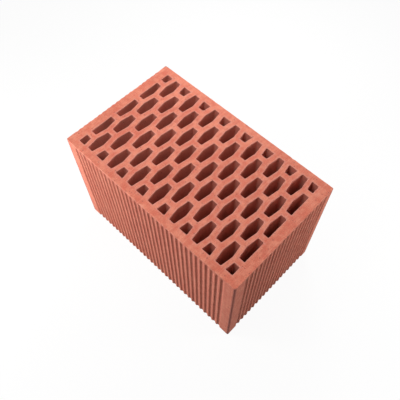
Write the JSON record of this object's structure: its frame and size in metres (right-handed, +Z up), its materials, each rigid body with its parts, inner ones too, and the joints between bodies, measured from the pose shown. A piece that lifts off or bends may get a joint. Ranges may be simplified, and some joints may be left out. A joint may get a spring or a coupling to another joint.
{
  "type": "perforated clay brick",
  "caption": "Fired clay brick with long hexagonal holes through it and upright grooves on every side, laid in mortar to build walls.",
  "frame": {"origin": "middle of the lower bed face", "axes": "+X along the length, +Y across the width, +Z up along the holes"},
  "size_m": [0.29, 0.1764, 0.186],
  "materials": {
    "fired_clay": "matte"
  },
  "bodies": {
    "root": {"brick": "fired_clay"}
  },
  "joints": []
}
